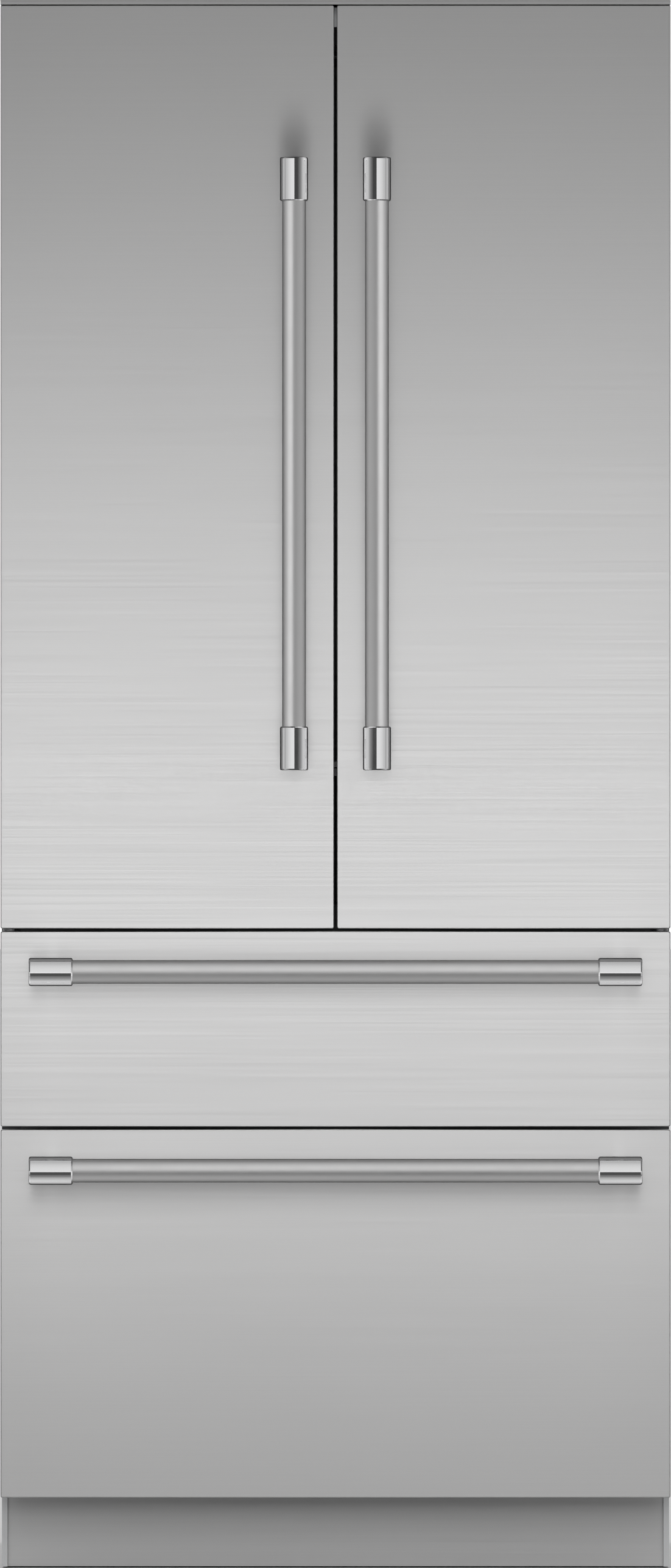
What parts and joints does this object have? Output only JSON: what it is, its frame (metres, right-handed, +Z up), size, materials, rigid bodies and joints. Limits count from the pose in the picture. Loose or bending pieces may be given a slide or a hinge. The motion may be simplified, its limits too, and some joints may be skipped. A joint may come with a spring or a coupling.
{
  "type": "built-in french door refrigerator",
  "caption": "Tall built-in refrigerator with french doors above two drawers, brushed steel fronts, round bar handles with polished ends and a recessed kick plate.",
  "frame": {"origin": "on the floor under the middle of the part's box", "axes": "+Z up, doors and handles face -Y, +X to the right as seen from the front"},
  "size_m": [0.908, 0.6809, 2.13],
  "materials": {
    "steel_front": "fine horizontal brushing",
    "kick_steel": "fine horizontal brushing",
    "satin_bar": "satin",
    "polished_ferrule": "polished",
    "cabinet_steel": "fine orange peel, satin",
    "zinc_sheet": "galvanised",
    "hinge_steel": "dark zinc plated",
    "bright_steel": "zinc plated",
    "white_liner": "soft gloss",
    "gasket_rubber": "matt",
    "foam": "closed cell foam",
    "shelf_steel": "satin",
    "shelf_glass": "clear",
    "clear_plastic": "clear",
    "light_diffuser": "milky",
    "dark_plastic": "matt",
    "compressor_paint": "gloss",
    "coil_aluminium": "mill",
    "coil_steel": "satin",
    "foot_plastic": "matt"
  },
  "bodies": {
    "cabinet": {"side_panels": "cabinet_steel", "top_panel": "cabinet_steel", "back_panel": "zinc_sheet", "insulation": "foam", "fridge_liner": "white_liner", "drawer_liner": "white_liner", "freezer_liner": "white_liner", "top_trim": "steel_front", "kick_plate": "kick_steel", "base_frame": "zinc_sheet", "leveling_feet": "foot_plastic", "door_hinges": "hinge_steel", "slide_outer_members": "bright_steel", "machine_cover": "zinc_sheet", "shelf_tracks": "bright_steel", "shelf_frames": "shelf_steel", "shelf_glass": "shelf_glass", "light_bars": "light_diffuser", "control_panel": "dark_plastic", "air_duct_cover": "white_liner", "evaporator_cover": "white_liner", "evaporator_coil": "coil_aluminium", "compressor": "compressor_paint", "fan_shroud": "dark_plastic", "condenser_coil": "coil_steel", "drain_pan": "dark_plastic"},
    "mullion": {"flip_mullion": "white_liner"},
    "upper_slides": {"upper_slide_middle": "bright_steel"},
    "lower_slides": {"lower_slide_middle": "bright_steel"},
    "freezer_tray": {"freezer_tray": "white_liner"},
    "left_crisper": {"left_crisper": "clear_plastic"},
    "right_crisper": {"right_crisper": "clear_plastic"},
    "condenser_fan": {"condenser_fan": "dark_plastic"},
    "evaporator_fan": {"evaporator_fan": "dark_plastic"},
    "left_door": {"left_door_panel": "steel_front", "left_door_core": "white_liner", "left_door_gasket": "gasket_rubber", "left_door_bins": "clear_plastic", "left_handle_bar": "satin_bar", "left_handle_ends": "polished_ferrule"},
    "right_door": {"right_door_panel": "steel_front", "right_door_core": "white_liner", "right_door_gasket": "gasket_rubber", "right_door_bins": "clear_plastic", "right_handle_bar": "satin_bar", "right_handle_ends": "polished_ferrule"},
    "upper_drawer": {"upper_drawer_panel": "steel_front", "upper_drawer_core": "white_liner", "upper_drawer_gasket": "gasket_rubber", "upper_handle_bar": "satin_bar", "upper_handle_ends": "polished_ferrule", "upper_slide_inner": "bright_steel", "upper_drawer_tub": "white_liner"},
    "lower_drawer": {"lower_drawer_panel": "steel_front", "lower_drawer_core": "white_liner", "lower_drawer_gasket": "gasket_rubber", "lower_handle_bar": "satin_bar", "lower_handle_ends": "polished_ferrule", "lower_slide_inner": "bright_steel", "freezer_basket": "white_liner"}
  },
  "joints": [
    {"name": "left_door_hinge", "type": "hinge", "parent": "cabinet", "child": "left_door", "pos_m": [-0.442, -0.2575, 0.8715], "axis": [0, 0, -1], "range_deg": [0, 115]},
    {"name": "right_door_hinge", "type": "hinge", "parent": "cabinet", "child": "right_door", "pos_m": [0.442, -0.2575, 0.8715], "axis": [0, 0, 1], "range_deg": [0, 115]},
    {"name": "mullion_fold", "type": "hinge", "parent": "left_door", "child": "mullion", "pos_m": [-0.044, -0.1895, 0.9198], "axis": [0, 0, 1], "range_deg": [0, 85]},
    {"name": "upper_drawer_slide", "type": "slide", "parent": "cabinet", "child": "upper_drawer", "axis": [0, -1, 0], "range_m": [0, 0.38]},
    {"name": "upper_slides_slide", "type": "slide", "parent": "cabinet", "child": "upper_slides", "axis": [0, -1, 0], "range_m": [0, 0.19]},
    {"name": "lower_drawer_slide", "type": "slide", "parent": "cabinet", "child": "lower_drawer", "axis": [0, -1, 0], "range_m": [0, 0.38]},
    {"name": "lower_slides_slide", "type": "slide", "parent": "cabinet", "child": "lower_slides", "axis": [0, -1, 0], "range_m": [0, 0.19]},
    {"name": "freezer_tray_slide", "type": "slide", "parent": "lower_drawer", "child": "freezer_tray", "axis": [0, 1, 0], "range_m": [0, 0.2]},
    {"name": "left_crisper_slide", "type": "slide", "parent": "cabinet", "child": "left_crisper", "axis": [0, -1, 0], "range_m": [0, 0.09]},
    {"name": "right_crisper_slide", "type": "slide", "parent": "cabinet", "child": "right_crisper", "axis": [0, -1, 0], "range_m": [0, 0.09]},
    {"name": "condenser_fan_spin", "type": "hinge", "parent": "cabinet", "child": "condenser_fan", "pos_m": [-0.06, 0.2455, 0.1045], "axis": [1, 0, 0], "continuous": true},
    {"name": "evaporator_fan_spin", "type": "hinge", "parent": "cabinet", "child": "evaporator_fan", "pos_m": [0, 0.2305, 0.506], "axis": [0, 1, 0], "continuous": true}
  ],
  "couplings": [
    {"joint": "mullion_fold", "follows": "left_door_hinge", "ratio": 0.7391},
    {"joint": "upper_slides_slide", "follows": "upper_drawer_slide", "ratio": 0.5},
    {"joint": "lower_slides_slide", "follows": "lower_drawer_slide", "ratio": 0.5}
  ]
}
